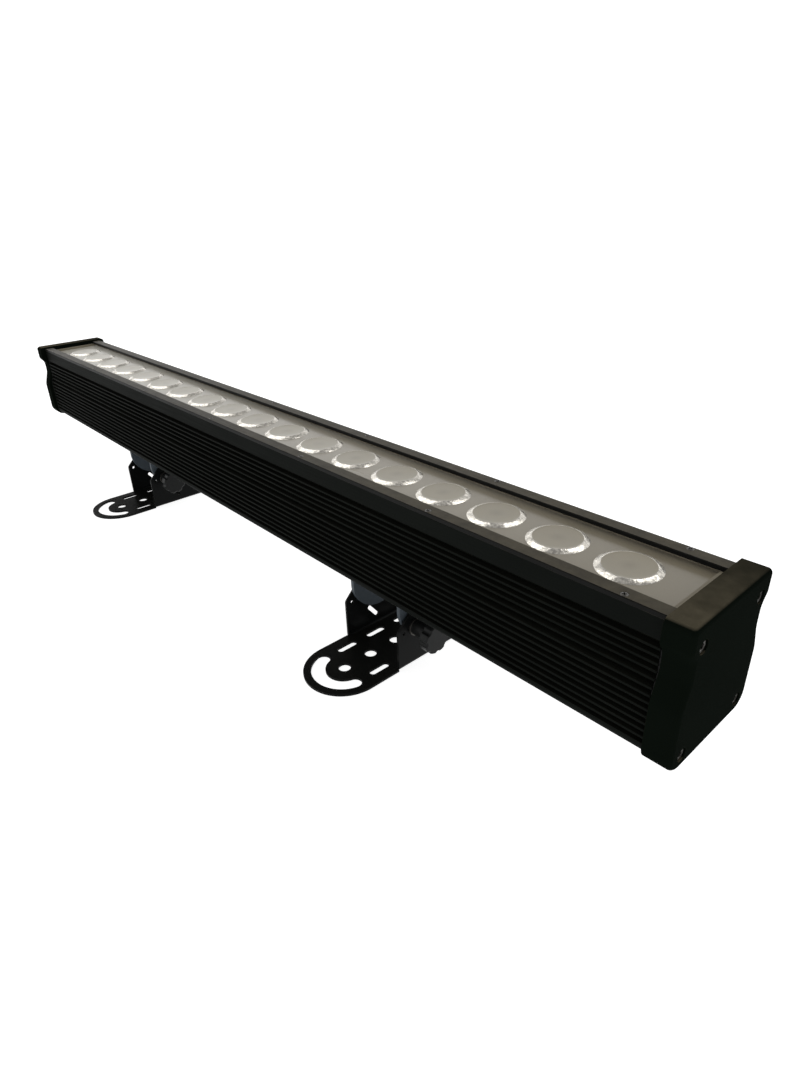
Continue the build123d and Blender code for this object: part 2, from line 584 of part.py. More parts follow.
def make_gland():
    """Cable gland in the left end cap: body, dome nut and locknut."""
    z = RIM_Z - GLAND_DROP
    wall = -HALF_LENGTH
    flange = wall - GLAND_FLANGE_THICKNESS
    neck = flange - GLAND_NECK_LENGTH
    inside = wall + CAP_END_WALL
    stem_end = inside + GLAND_LOCKNUT_THICKNESS
    body = hex_bar(ALONG_X, (flange, 0, z), GLAND_FLANGE_THICKNESS, GLAND_ACROSS_FLATS)
    body += rod(ALONG_X, (wall, 0, z), stem_end - wall, GLAND_STEM_RADIUS)
    body += rod(ALONG_X, (neck, 0, z), GLAND_NECK_LENGTH, GLAND_NECK_RADIUS)
    body -= rod(ALONG_X, (neck, 0, z), stem_end - neck, GLAND_BORE_RADIUS)
    add("gland_body", body)
    tip = flange - GLAND_NUT_LENGTH
    nut = rod(ALONG_X, (tip, 0, z), GLAND_NUT_LENGTH, GLAND_NUT_RADIUS)
    nut = fillet(nut.faces().sort_by(Axis.X)[0].edges(), GLAND_NUT_RADIUS - GLAND_NECK_RADIUS)
    hex_x = flange - GLAND_NUT_HEX_LENGTH
    nut += hex_bar(ALONG_X, (hex_x, 0, z), GLAND_NUT_HEX_LENGTH, GLAND_ACROSS_FLATS)
    nut -= rod(ALONG_X, (tip, 0, z), GLAND_NUT_LENGTH, GLAND_BORE_RADIUS)
    nut -= rod(ALONG_X, (neck, 0, z), GLAND_NECK_LENGTH, GLAND_NECK_RADIUS + THREAD_FIT)
    add("gland_nut", nut)
    locknut = hex_bar(ALONG_X, (inside, 0, z), GLAND_LOCKNUT_THICKNESS, GLAND_ACROSS_FLATS)
    locknut -= rod(ALONG_X, (inside, 0, z), GLAND_LOCKNUT_THICKNESS, GLAND_STEM_RADIUS + THREAD_FIT)
    add("gland_locknut", locknut)


def arc_slot(radius, width, start, end):
    """A curved slot about the origin, between two angles in degrees."""
    return SlotArc(CenterArc((0, 0), radius, start, end - start), width)


def foot_base():
    """Flat base sheet with a round front, its holes and slots."""
    outline = Pos(0, (FOOT_HOLE_Y + FOOT_BACK_Y) / 2) * Rectangle(FOOT_WIDTH, FOOT_BACK_Y - FOOT_HOLE_Y)
    outline = fillet(outline.vertices().group_by(Axis.Y)[-1], FOOT_BACK_CORNER)
    outline += Pos(0, FOOT_HOLE_Y) * Circle(FOOT_WIDTH / 2)
    slot = arc_slot(ARC_SLOT_RADIUS, ARC_SLOT_WIDTH, 180 + ARC_SLOT_END_ANGLE, 360 - ARC_SLOT_END_ANGLE)
    outline -= Pos(0, FOOT_HOLE_Y) * slot
    for index in range(FOOT_HOLE_COUNT):
        outline -= Pos(0, FOOT_HOLE_Y + index * FOOT_HOLE_PITCH) * Circle(FOOT_HOLE_RADIUS)
    for index in range(SIDE_SLOT_COUNT):
        y = SIDE_SLOT_FIRST_Y + index * SIDE_SLOT_PITCH
        for side in (1, -1):
            place = Pos(side * SIDE_SLOT_OFFSET, y) * Rot(0, 0, 90)
            outline -= place * SlotOverall(SIDE_SLOT_LENGTH, SIDE_SLOT_WIDTH)
    return extrude(outline, SHEET)


def ear_side():
    """Side view of an ear with its shoulders, pivot hole, lock slot and slit."""
    face = section(mirrored([
        (EAR_TOP_HALF_WIDTH, EAR_TOP_Z), (EAR_HALF_WIDTH, EAR_SHOULDER_Z), (EAR_HALF_WIDTH, 0)]))
    face = corner_fillet(face, EAR_TOP_HALF_WIDTH, EAR_TOP_Z, EAR_SHOULDER_RADIUS)
    face = corner_fillet(face, EAR_HALF_WIDTH, EAR_SHOULDER_Z, EAR_SHOULDER_RADIUS)
    face -= Pos(0, PIVOT_Z) * Circle(PIVOT_RADIUS + RUNNING_FIT)
    start = STUD_ANGLE - TILT_BACK - LOCK_SLOT_OVERRUN
    end = STUD_ANGLE + TILT_FORWARD + LOCK_SLOT_OVERRUN
    width = 2 * (STUD_RADIUS + LOCK_SLOT_CLEARANCE)
    face -= Pos(0, PIVOT_Z) * arc_slot(STUD_ORBIT, width, start, end)
    slit = SlotOverall(EAR_SLIT_LENGTH, EAR_SLIT_WIDTH)
    face -= Pos(EAR_SLIT_Y, EAR_SLIT_Z) * Rot(0, 0, EAR_SLIT_ANGLE) * slit
    hole_y = EAR_HOLE_INSET - EAR_HALF_WIDTH
    face -= Pos(hole_y, EAR_SHOULDER_Z - EAR_HOLE_BELOW_SHOULDER) * Circle(EAR_HOLE_RADIUS)
    return face


def channel(half_width, sheet, outer_radius, low, high, half_length):
    """A bent U channel, open at the top, that runs along Y."""
    outer = box_between((-half_width, -half_length, low), (half_width, half_length, high))
    outer = fillet(outer.edges().filter_by(Axis.Y).group_by(Axis.Z)[0], outer_radius)
    inner_half = half_width - sheet
    inner = box_between((-inner_half, -half_length, low + sheet), (inner_half, half_length, high))
    inner = fillet(inner.edges().filter_by(Axis.Y).group_by(Axis.Z)[0], outer_radius - sheet)
    return outer - inner


def make_foot(name, x):
    """Base plate with two bent-up ears, as one bent sheet."""
    half = FOOT_WIDTH / 2
    base = foot_base()
    upper = box_between((-half, -EAR_HALF_WIDTH, SHEET), (half, EAR_HALF_WIDTH, EAR_TOP_Z))
    middle = box_between((-half, -EAR_HALF_WIDTH, 0), (half, EAR_HALF_WIDTH, EAR_TOP_Z))
    ears = channel(half, SHEET, BEND_RADIUS, 0, EAR_TOP_Z, EAR_HALF_WIDTH)
    ears &= along_bar(ear_side(), -half, half)
    ears &= base + upper
    add(f"foot_{name}", Pos(x, 0, 0) * ((base - middle) + ears))


def saddle_side():
    """Side view of a saddle leg: straight sides and a round end about the pivot."""
    face = section_box(SADDLE_RADIUS, PIVOT_Z, BODY_BOTTOM_Z)
    face += Pos(0, PIVOT_Z) * Circle(SADDLE_RADIUS)
    return face - Pos(0, PIVOT_Z) * Circle(PIVOT_RADIUS + RUNNING_FIT)


def make_saddle(name, x):
    """Bent saddle under the housing, and the bolts into the housing's floor."""
    low = PIVOT_Z - SADDLE_RADIUS
    legs = channel(SADDLE_OUTER_X, SADDLE_SHEET, SADDLE_BEND_RADIUS, low, BODY_BOTTOM_Z, SADDLE_RADIUS)
    legs = Pos(0, 0, low + BODY_BOTTOM_Z) * Rot(180, 0, 0) * legs
    legs &= along_bar(saddle_side(), -SADDLE_OUTER_X, SADDLE_OUTER_X)
    legs -= rod(ALONG_X, (SADDLE_INNER_X, STUD_Y, STUD_Z), SADDLE_SHEET, STUD_RADIUS + RUNNING_FIT)
    bolts = []
    for bolt_x in SADDLE_BOLT_XS:
        legs -= rod(ALONG_Z, (bolt_x, 0, SADDLE_UNDERSIDE_Z), SADDLE_SHEET, SADDLE_BOLT_RADIUS + RUNNING_FIT)
        bolt = rod(ALONG_Z, (bolt_x, 0, SADDLE_UNDERSIDE_Z), SADDLE_SHEET + SADDLE_BOLT_REACH,
                   SADDLE_BOLT_RADIUS)
        head_z = SADDLE_UNDERSIDE_Z - SADDLE_BOLT_HEAD_HEIGHT
        bolt += hex_bar(ALONG_Z, (bolt_x, 0, head_z), SADDLE_BOLT_HEAD_HEIGHT, SADDLE_BOLT_ACROSS_FLATS)
        bolts.append(Pos(x, 0, 0) * bolt)
    add(f"saddle_{name}", Pos(x, 0, 0) * legs)
    add(f"saddle_bolts_{name}", *bolts)


def washer(start, length, radius, hole):
    """A plain washer on an X axis."""
    return rod(ALONG_X, start, length, radius) - rod(ALONG_X, start, length, hole)


def make_pivot(name, x):
    """Through bolt of the tilt, with its nut and the washers inside the ears."""
    half = FOOT_WIDTH / 2
    tip = half + PIVOT_NUT_HEIGHT + PIVOT_THREAD_SHOW
    bolt = rod(ALONG_X, (-half, 0, PIVOT_Z), half + tip, PIVOT_RADIUS)
    head_x = -half - PIVOT_HEAD_HEIGHT
    bolt += hex_bar(ALONG_X, (head_x, 0, PIVOT_Z), PIVOT_HEAD_HEIGHT, PIVOT_ACROSS_FLATS)
    add(f"pivot_bolt_{name}", Pos(x, 0, 0) * bolt)
    nut = hex_bar(ALONG_X, (half, 0, PIVOT_Z), PIVOT_NUT_HEIGHT, PIVOT_ACROSS_FLATS)
    nut -= rod(ALONG_X, (half, 0, PIVOT_Z), PIVOT_NUT_HEIGHT, PIVOT_RADIUS + THREAD_FIT)
    add(f"pivot_nut_{name}", Pos(x, 0, 0) * nut)
    rings = [washer((start, 0, PIVOT_Z), SADDLE_SIDE_GAP, WASHER_RADIUS, PIVOT_RADIUS + RUNNING_FIT)
             for start in (SADDLE_OUTER_X, -EAR_INNER_X)]
    add(f"pivot_washers_{name}", *[Pos(x, 0, 0) * ring for ring in rings])


def make_clamp(name, x):
    """Stud fixed in the saddle, its washer and the fluted knob on the outside."""
    centre = (STUD_Y, STUD_Z)
    stud_end = KNOB_END_X - STUD_END_COVER
    stud = rod(ALONG_X, (SADDLE_INNER_X, *centre), stud_end - SADDLE_INNER_X, STUD_RADIUS)
    head_x = SADDLE_INNER_X - STUD_HEAD_HEIGHT
    stud += rod(ALONG_X, (head_x, *centre), STUD_HEAD_HEIGHT, STUD_HEAD_RADIUS)
    add(f"clamp_stud_{name}", Pos(x, 0, 0) * stud)
    ring = washer((FOOT_WIDTH / 2, *centre), LOCK_WASHER_THICKNESS, WASHER_RADIUS, STUD_RADIUS + RUNNING_FIT)
    add(f"clamp_washer_{name}", Pos(x, 0, 0) * ring)
    head_start = KNOB_START_X + KNOB_HUB_LENGTH
    head = Circle(KNOB_HEAD_RADIUS)
    flute_orbit = KNOB_HEAD_RADIUS + KNOB_FLUTE_RADIUS - KNOB_FLUTE_DEPTH
    for index in range(KNOB_LOBES):
        head -= Rot(0, 0, 360 * index / KNOB_LOBES) * Pos(flute_orbit, 0) * Circle(KNOB_FLUTE_RADIUS)
    knob = along_bar(head, head_start, KNOB_END_X)
    knob = chamfer(knob.faces().sort_by(Axis.X)[-1].edges(), KNOB_EDGE)
    knob += along_bar(Circle(KNOB_HUB_RADIUS), KNOB_START_X, head_start)
    knob -= along_bar(Circle(STUD_RADIUS + RUNNING_FIT), KNOB_START_X, stud_end + KNOB_GAP)
    add(f"clamp_knob_{name}", Pos(x, *centre) * knob)


make_housing()
for end_name, end_side in (("right", 1), ("left", -1)):
    make_end(end_name, end_side)
make_cap_screws()
make_plate()
make_strips()
make_lenses()
make_boards()
make_driver()
make_terminal_block()
make_gland()
for foot_name, foot_place in FOOT_XS.items():
    make_foot(foot_name, foot_place)
    make_saddle(foot_name, foot_place)
    make_pivot(foot_name, foot_place)
    make_clamp(foot_name, foot_place)

os.makedirs("parts", exist_ok=True)
for part_name, shape in parts.items():
    export_step(shape, f"parts/{part_name}.step")
print(len(parts), "nodes written")
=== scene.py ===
"""LED batten light: finishes, lenses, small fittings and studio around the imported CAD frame.

All sizes are in metres, in the frame's own axes: X along the bar, -Y to the front, +Z up.
"""

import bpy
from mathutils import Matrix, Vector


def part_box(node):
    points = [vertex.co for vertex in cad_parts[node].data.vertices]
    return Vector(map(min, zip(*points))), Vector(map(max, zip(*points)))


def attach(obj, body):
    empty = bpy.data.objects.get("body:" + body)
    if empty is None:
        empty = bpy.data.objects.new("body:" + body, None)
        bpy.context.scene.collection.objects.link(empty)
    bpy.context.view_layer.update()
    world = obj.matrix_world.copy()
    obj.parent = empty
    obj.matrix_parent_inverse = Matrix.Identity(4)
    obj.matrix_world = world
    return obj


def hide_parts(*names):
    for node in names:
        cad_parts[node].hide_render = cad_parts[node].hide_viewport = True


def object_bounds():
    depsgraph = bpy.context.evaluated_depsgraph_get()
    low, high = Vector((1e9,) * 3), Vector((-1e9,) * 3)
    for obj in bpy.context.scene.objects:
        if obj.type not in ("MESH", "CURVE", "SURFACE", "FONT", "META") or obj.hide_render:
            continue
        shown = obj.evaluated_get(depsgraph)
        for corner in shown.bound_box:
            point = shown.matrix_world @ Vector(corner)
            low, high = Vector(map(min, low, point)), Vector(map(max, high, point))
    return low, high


bl_info = {
    "name": "LED batten light",
    "version": (1, 0, 0),
    "blender": (4, 5, 0),
    "location": "View3D > Sidebar > Batten light",
    "description": "Dresses the packed LED bar: finishes, lenses, screws and a studio",
    "category": "Object",
}

import math

import bpy
from bpy.props import FloatProperty, FloatVectorProperty, IntProperty, PointerProperty
from mathutils import Matrix, Vector

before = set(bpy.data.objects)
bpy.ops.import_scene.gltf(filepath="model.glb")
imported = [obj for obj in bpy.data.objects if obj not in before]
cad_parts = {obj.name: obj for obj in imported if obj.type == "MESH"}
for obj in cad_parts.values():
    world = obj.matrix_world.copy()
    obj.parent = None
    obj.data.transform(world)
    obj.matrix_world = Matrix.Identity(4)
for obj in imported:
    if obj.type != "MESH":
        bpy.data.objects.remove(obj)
CAD_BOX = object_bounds()

MM = 0.001
LENSES = sorted(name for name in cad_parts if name.startswith("lens_") and name != "lens_plate")
SIDES = ("right", "left")
MERGE_DISTANCE = 0.001 * MM
SMOOTH_ANGLE = math.radians(35)
LENS_SMOOTH_ANGLE = math.radians(40)
# Stretch at one end of the strips that holds only their outermost screws
END_REACH = 20 * MM
# Turn from the cross of one strip screw to the next
SCREW_TURN = math.radians(67)
# Sensor in millimetres, as Blender counts it, and the nearest distance that the camera sees
SENSOR_WIDTH = 36.0
CLIP_START = 0.01

# Name, place, width, height and power of each softbox, all aimed at the middle of the bar
SOFTBOXES = (
    ("back_softbox", (0.83, 2.22, 3.35), 1.3, 2.4, 30.0),
    ("left_softbox", (-2.40, 0.12, 3.30), 1.6, 3.2, 38.0),
)


def colour_property(name, description, default):
    """A linear colour that the user can change."""
    return FloatVectorProperty(name=name, description=description, subtype="COLOR", size=3,
                               min=0.0, max=1.0, default=default)


def length_property(name, description, default):
    """A length in metres that the user can change."""
    return FloatProperty(name=name, description=description, subtype="DISTANCE", unit="LENGTH",
                         min=0.0, precision=5, default=default)


def sides_property(name, description, default):
    """Number of sides of a turned piece that the user can change."""
    return IntProperty(name=name, description=description, min=12, default=default)


class BattenColours(bpy.types.PropertyGroup):
    """Base colours of the finishes."""
    housing: colour_property("Housing", "Black anodised extrusion", (0.0038, 0.0047, 0.0039))
    cap: colour_property("End caps", "Black paint on the cast end caps", (0.0028, 0.0041, 0.0029))
    # Colour laid on upper faces and edges: partly dust, and partly a painted sheen of reflected light on the
    # cap, strip and fin tops and a painted highlight on edges
    dust_and_sheen: colour_property("Dust", "Dust that lies on upper faces", (0.088, 0.076, 0.052))
    strip: colour_property("Clamp strips", "Black strips beside the lens panel", (0.0060, 0.0060, 0.0056))
    panel: colour_property("Lens panel", "Warm grey panel around the lenses", (0.197, 0.170, 0.117))
    lens: colour_property("Lens face", "Clouded face of a lens", (0.228, 0.200, 0.141))
    rim: colour_property("Lens rim", "Silvered bevel of a lens", (0.82, 0.78, 0.70))
    foot: colour_property("Feet", "Black coat on the bent feet", (0.0036, 0.0040, 0.0039))
    saddle: colour_property("Saddles", "Grey coat on the saddles", (0.041, 0.051, 0.060))
    bolt: colour_property("Bolts", "Zinc on bolts, nuts, washers and inner screws", (0.48, 0.47, 0.45))
    screw: colour_property("Screws", "Blackened steel of outer screws and clamps", (0.085, 0.080, 0.073))
    knob: colour_property("Knobs", "Black moulded knobs", (0.0075, 0.0080, 0.0078))
    seal: colour_property("Panel seal", "Grey silicone around the lens panel", (0.190, 0.168, 0.124))
    gasket: colour_property("Gaskets", "Black rubber", (0.0060, 0.0060, 0.0062))
    gland: colour_property("Gland", "Black nylon of the cable gland", (0.0080, 0.0080, 0.0085))
    board: colour_property("Boards", "White solder mask", (0.62, 0.63, 0.60))
    emitter: colour_property("Emitters", "Phosphor of the light emitters", (0.80, 0.62, 0.16))
    driver: colour_property("Driver", "Grey case of the driver", (0.30, 0.31, 0.32))
    terminal: colour_property("Terminals", "Pale nylon of the terminal block", (0.55, 0.54, 0.48))


class BattenSizes(bpy.types.PropertyGroup):
    """Sizes of the pieces that are modelled here."""
    lens_bevel: length_property("Lens bevel", "Width of a lens's bevelled rim", 3.3 * MM)
    lens_round: length_property("Lens round", "Rounding of a lens's rim", 0.45 * MM)
    lens_lip: length_property("Lens lip", "How far a lens's foot laps over the panel", 0.45 * MM)
    lens_dish: length_property("Lens dish", "Depth of the shallow dish in a lens's face", 0.30 * MM)
    lens_skirt: length_property("Lens skirt", "Straight skirt of a lens below the panel", 5.0 * MM)
    lens_foot: length_property("Lens foot", "Radius of a lens where it stands on its board", 8.5 * MM)
    lens_sides: sides_property("Lens sides", "Sides of a turned lens", 96)
    strip_screw_shank: length_property("Strip screw shank", "Radius of a strip screw's shank", 1.5 * MM)
    strip_screw_head: length_property("Strip screw head", "Height of a strip screw's head", 1.2 * MM)
    strip_screw_dome: length_property("Strip screw dome", "How far its head stands proud", 0.35 * MM)
    strip_screw_edge: length_property("Strip screw edge", "Height of the chamfer around its head", 0.15 * MM)
    strip_screw_sides: sides_property("Strip screw sides", "Sides of a turned strip screw", 28)
    cross_width: length_property("Cross width", "Width of the cross recess in a strip screw", 0.75 * MM)
    cross_depth: length_property("Cross depth", "Depth of the cross recess in a strip screw", 0.9 * MM)
    cap_screw_shank: length_property("Cap screw shank", "Radius of a cap screw's shank", 2.0 * MM)
    cap_screw_head: length_property("Cap screw head", "Height of a cap screw's head", 4.0 * MM)
    cap_screw_edge: length_property("Cap screw edge", "Rounding of a cap screw's head", 0.5 * MM)
    cap_screw_sides: sides_property("Cap screw sides", "Sides of a turned cap screw", 40)
    socket_across: length_property("Socket", "Across flats of the hexagon socket in a cap screw", 3.6 * MM)
    socket_depth: length_property("Socket depth", "Depth of the hexagon socket", 2.4 * MM)


class BattenStage(bpy.types.PropertyGroup):
    """Floor, light and camera."""
    floor_size: length_property("Floor", "Side of the square floor", 30.0)
    floor_colour: colour_property("Floor colour", "Pale floor", (0.50, 0.50, 0.50))
    floor_glow: FloatProperty(name="Floor glow", description="Light of the backlit floor", min=0.0,
                              default=0.85)
    horizon: colour_property("Horizon", "Light from the horizon", (1.0, 1.0, 1.0))
    horizon_strength: FloatProperty(name="Horizon strength", description="Brightness of the horizon",
                                    min=0.0, default=1.7)
    zenith: colour_property("Zenith", "Light from straight above", (0.24, 0.24, 0.24))
    sky_low: FloatProperty(name="Sky low", description="Height where the horizon starts to fade",
                           default=0.05)
    sky_high: FloatProperty(name="Sky high", description="Height where the zenith's light begins",
                            default=0.75)
    camera_place: FloatVectorProperty(name="Camera", description="Place of the camera", subtype="XYZ",
                                      unit="LENGTH", size=3, default=(0.61374, -0.31427, 0.36492))
    camera_turn: FloatProperty(name="Camera turn", description="Turn of the view about Z", subtype="ANGLE",
                               default=math.radians(48.533))
    camera_rise: FloatProperty(name="Camera rise", description="Angle that the view looks down",
                               subtype="ANGLE", default=math.radians(27.090))
    camera_roll: FloatProperty(name="Camera roll", description="Roll of the view", subtype="ANGLE",
                               default=math.radians(-1.852))
    camera_lens: FloatProperty(name="Focal length", description="Lens in millimetres on a 36 mm sensor",
                               subtype="DISTANCE_CAMERA", min=1.0, default=23.353)


class Finish:
    """One procedural material, built node by node on Object coordinates."""

    def __init__(self, name):
        self.material = bpy.data.materials.new(name)
        self.material.use_nodes = True
        self.tree = self.material.node_tree
        self.shader = self.tree.nodes["Principled BSDF"]
        self.place = self.node("ShaderNodeTexCoord")

    def node(self, kind, **settings):
        """Add a node and set its own options."""
        made = self.tree.nodes.new(kind)
        for name, value in settings.items():
            setattr(made, name, value)
        return made

    def feed(self, socket, value):
        """Set a socket to a constant, or link another node's output to it."""
        if isinstance(value, bpy.types.NodeSocket):
            self.tree.links.new(value, socket)
        elif socket.type == "RGBA":
            socket.default_value = (*value, 1.0)
        else:
            socket.default_value = value

    def set(self, **inputs):
        """Set inputs of the shader by name, with underscores for spaces."""
        for name, value in inputs.items():
            self.feed(self.shader.inputs[name.replace("_", " ")], value)

    def noise(self, scale, detail, stretch=(1.0, 1.0, 1.0), roughness=0.55):
        """Noise of a given scale per metre, stretched along the object's axes."""
        mapping = self.node("ShaderNodeMapping")
        self.feed(mapping.inputs["Vector"], self.place.outputs["Object"])
        mapping.inputs["Scale"].default_value = stretch
        texture = self.node("ShaderNodeTexNoise")
        self.feed(texture.inputs["Vector"], mapping.outputs["Vector"])
        self.feed(texture.inputs["Scale"], scale)
        self.feed(texture.inputs["Detail"], detail)
        self.feed(texture.inputs["Roughness"], roughness)
        return texture.outputs["Fac"]

    def range(self, value, low, high, out_low=0.0, out_high=1.0):
        """Map a value from one range to another, clamped."""
        made = self.node("ShaderNodeMapRange")
        names = ("Value", "From Min", "From Max", "To Min", "To Max")
        for name, given in zip(names, (value, low, high, out_low, out_high)):
            self.feed(made.inputs[name], given)
        return made.outputs["Result"]

    def maths(self, operation, first, second):
        """One calculation with two values."""
        made = self.node("ShaderNodeMath", operation=operation)
        self.feed(made.inputs[0], first)
        self.feed(made.inputs[1], second)
        return made.outputs["Value"]

    def mix(self, share, first, second):
        """Mix two colours by a share."""
        made = self.node("ShaderNodeMix", data_type="RGBA")
        self.feed(made.inputs["Factor"], share)
        self.feed(made.inputs["A"], first)
        self.feed(made.inputs["B"], second)
        return made.outputs["Result"]

    def axes(self, source="Object"):
        """X, Y and Z of the place or the normal, in the object's own frame."""
        made = self.node("ShaderNodeSeparateXYZ")
        self.feed(made.inputs["Vector"], self.place.outputs[source])
        return made.outputs

    def upward(self, low=0.75, high=0.98):
        """Mask of faces that look up in the object's own frame."""
        return self.range(self.axes("Normal")["Z"], low, high)

    def along(self, axis, start, end, at_start, at_end):
        """Value that runs from one amount to another along an axis of the object."""
        return self.range(self.axes()[axis], start, end, at_start, at_end)

    def edges(self, width):
        """Mask of convex and concave edges, from rounded against true normals."""
        rounded = self.node("ShaderNodeBevel", samples=6)
        self.feed(rounded.inputs["Radius"], width)
        true = self.node("ShaderNodeNewGeometry")
        turn = self.node("ShaderNodeVectorMath", operation="DOT_PRODUCT")
        self.feed(turn.inputs[0], rounded.outputs["Normal"])
        self.feed(turn.inputs[1], true.outputs["Normal"])
        return self.range(turn.outputs["Value"], low=0.98, high=0.80)

    def dusty_sheen(self, weight):
        """Pale dusty film that shows at grazing angles."""
        self.set(Sheen_Weight=weight, Sheen_Roughness=0.30, Sheen_Tint=(1.0, 1.0, 0.95))

    def relief(self, height, strength, distance, rounding=0.0):
        """Bump from a height, on edges rounded by a small radius."""
        bump = self.node("ShaderNodeBump")
        self.feed(bump.inputs["Height"], height)
        self.feed(bump.inputs["Strength"], strength)
        self.feed(bump.inputs["Distance"], distance)
        if rounding:
            soft = self.node("ShaderNodeBevel", samples=4)
            self.feed(soft.inputs["Radius"], rounding)
            self.feed(bump.inputs["Normal"], soft.outputs["Normal"])
        self.set(Normal=bump.outputs["Normal"])


def shade(colour, factor):
    """A lighter or darker version of a colour."""
    return tuple(min(1.0, part * factor) for part in colour)


def coated_finish(name, colour, roughness, specular=0.35, metallic=0.0, grain=900.0,
                  stretch=(1.0, 1.0, 1.0), depth=0.02 * MM, dust_and_sheen=None, dust_and_sheen_share=0.0, painted_sheen_fade=None,
                  wear_and_edge_highlight=None, wear_and_highlight_share=0.0, rounding=0.3 * MM):
    """Painted, anodised or moulded finish with mottling, dusty upper faces with a painted sheen, rubbed
    edges with a painted highlight, and a fine grain.
    """
    finish = Finish(name)
    cloud = finish.noise(scale=14.0, detail=5.0)
    fine = finish.noise(scale=grain, detail=3.0, stretch=stretch)
    tint = finish.mix(cloud, shade(colour, 0.72), shade(colour, 1.30))
    # Upper faces are lightened towards the dust colour: partly dust, and partly a painted sheen that stands
    # in for reflected light
    if dust_and_sheen is not None:
        speckle = finish.range(finish.noise(scale=90.0, detail=6.0), low=0.30, high=0.72, out_low=0.55)
        share = finish.maths("MULTIPLY", finish.upward(), speckle)
        # Fades the lightened upper faces along one axis, shaping the painted sheen of reflected light
        if painted_sheen_fade is not None:
            share = finish.maths("MULTIPLY", share, finish.along(**painted_sheen_fade))
        tint = finish.mix(finish.maths("MULTIPLY", share, dust_and_sheen_share), tint, dust_and_sheen)
    # Edges are lightened: partly wear, and partly a painted edge highlight
    if wear_and_edge_highlight is not None:
        rubbed = finish.range(finish.noise(scale=60.0, detail=4.0), low=0.40, high=0.66)
        worn_and_highlit_edges = finish.maths("MULTIPLY", finish.edges(width=0.45 * MM), rubbed)
        tint = finish.mix(finish.maths("MULTIPLY", worn_and_highlit_edges, wear_and_highlight_share), tint, wear_and_edge_highlight)
    finish.set(Base_Color=tint, Metallic=metallic, Specular_IOR_Level=specular)
    finish.set(Roughness=finish.range(fine, low=0.25, high=0.75,
                                      out_low=roughness - 0.07, out_high=roughness + 0.09))
    finish.relief(fine, strength=0.35, distance=depth, rounding=rounding)
    return finish.material


def lens_face_finish(colours):
    """Clouded, dusty plastic with a faint dark spot over each emitter."""
    spot_core = 0.5 * MM
    spot_reach = 7.0 * MM
    low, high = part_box(LENSES[0])
    pitch = (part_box(LENSES[0])[0].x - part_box(LENSES[-1])[0].x) / (len(LENSES) - 1)
    centre = (low + high) / 2
    finish = Finish("clouded_lens")
    axes = finish.axes()
    along = finish.node("ShaderNodeMath", operation="WRAP")
    wrapped = (axes["X"], centre.x + pitch / 2, centre.x - pitch / 2)
    for socket, value in zip(along.inputs, wrapped):
        finish.feed(socket, value)
    flat = finish.node("ShaderNodeCombineXYZ")
    finish.feed(flat.inputs["X"], finish.maths("SUBTRACT", along.outputs["Value"], centre.x))
    finish.feed(flat.inputs["Y"], finish.maths("SUBTRACT", axes["Y"], centre.y))
    reach = finish.node("ShaderNodeVectorMath", operation="LENGTH")
    finish.feed(reach.inputs[0], flat.outputs["Vector"])
    spot = finish.range(reach.outputs["Value"], low=spot_core, high=spot_reach, out_low=0.42, out_high=0.0)
    haze = finish.noise(scale=60.0, detail=5.0)
    base = finish.mix(haze, shade(colours.lens, 0.88), shade(colours.lens, 1.12))
    finish.set(Base_Color=finish.mix(spot, base, shade(colours.lens, 0.62)))
    finish.set(Specular_IOR_Level=0.45, Coat_Weight=0.25, Coat_Roughness=0.18)
    finish.dusty_sheen(weight=0.6)
    finish.set(Roughness=finish.range(haze, low=0.25, high=0.75, out_low=0.30, out_high=0.42))
    finish.relief(finish.noise(scale=700.0, detail=2.0), strength=0.12, distance=0.02 * MM)
    return finish.material


def lens_rim_finish(colours):
    """Bright silvered bevel with dull patches, broken into small glints."""
    finish = Finish("silver_rim")
    glint = finish.noise(scale=900.0, detail=3.0, roughness=0.7)
    patch = finish.range(finish.noise(scale=420.0, detail=3.0), low=0.40, high=0.58)
    finish.set(Base_Color=finish.mix(patch, shade(colours.rim, 0.60), colours.rim), Metallic=0.62)
    finish.set(Roughness=finish.range(glint, low=0.3, high=0.7, out_low=0.12, out_high=0.28))
    finish.relief(finish.noise(scale=380.0, detail=3.0), strength=0.7, distance=0.34 * MM)
    return finish.material


def panel_finish(colours):
    """Warm grey sheet with a fine tooth, faint smears and a dusty film."""
    finish = Finish("warm_grey_panel")
    smear = finish.noise(scale=9.0, detail=6.0, stretch=(0.35, 1.0, 1.0))
    tooth = finish.noise(scale=1600.0, detail=2.0)
    tint = finish.mix(smear, shade(colours.panel, 0.86), shade(colours.panel, 1.12))
    pits = finish.range(tooth, low=0.3, high=0.7, out_high=0.22)
    finish.set(Base_Color=finish.mix(pits, tint, shade(colours.panel, 0.78)), Specular_IOR_Level=0.75)
    finish.dusty_sheen(weight=1.0)
    finish.set(Roughness=finish.range(smear, low=0.3, high=0.7, out_low=0.20, out_high=0.32))
    finish.relief(tooth, strength=0.15, distance=0.01 * MM, rounding=0.2 * MM)
    return finish.material


def zinc_finish(name, colour, roughness=0.32):
    """Plated steel with small blotches and softened edges."""
    finish = Finish(name)
    blotch = finish.noise(scale=160.0, detail=5.0)
    finish.set(Base_Color=finish.mix(blotch, shade(colour, 0.6), shade(colour, 1.15)), Metallic=0.85)
    finish.set(Roughness=finish.range(blotch, low=0.3, high=0.7,
                                      out_low=roughness - 0.08, out_high=roughness + 0.16))
    finish.relief(finish.noise(scale=1100.0, detail=3.0), strength=0.25, distance=0.02 * MM,
                  rounding=0.35 * MM)
    return finish.material


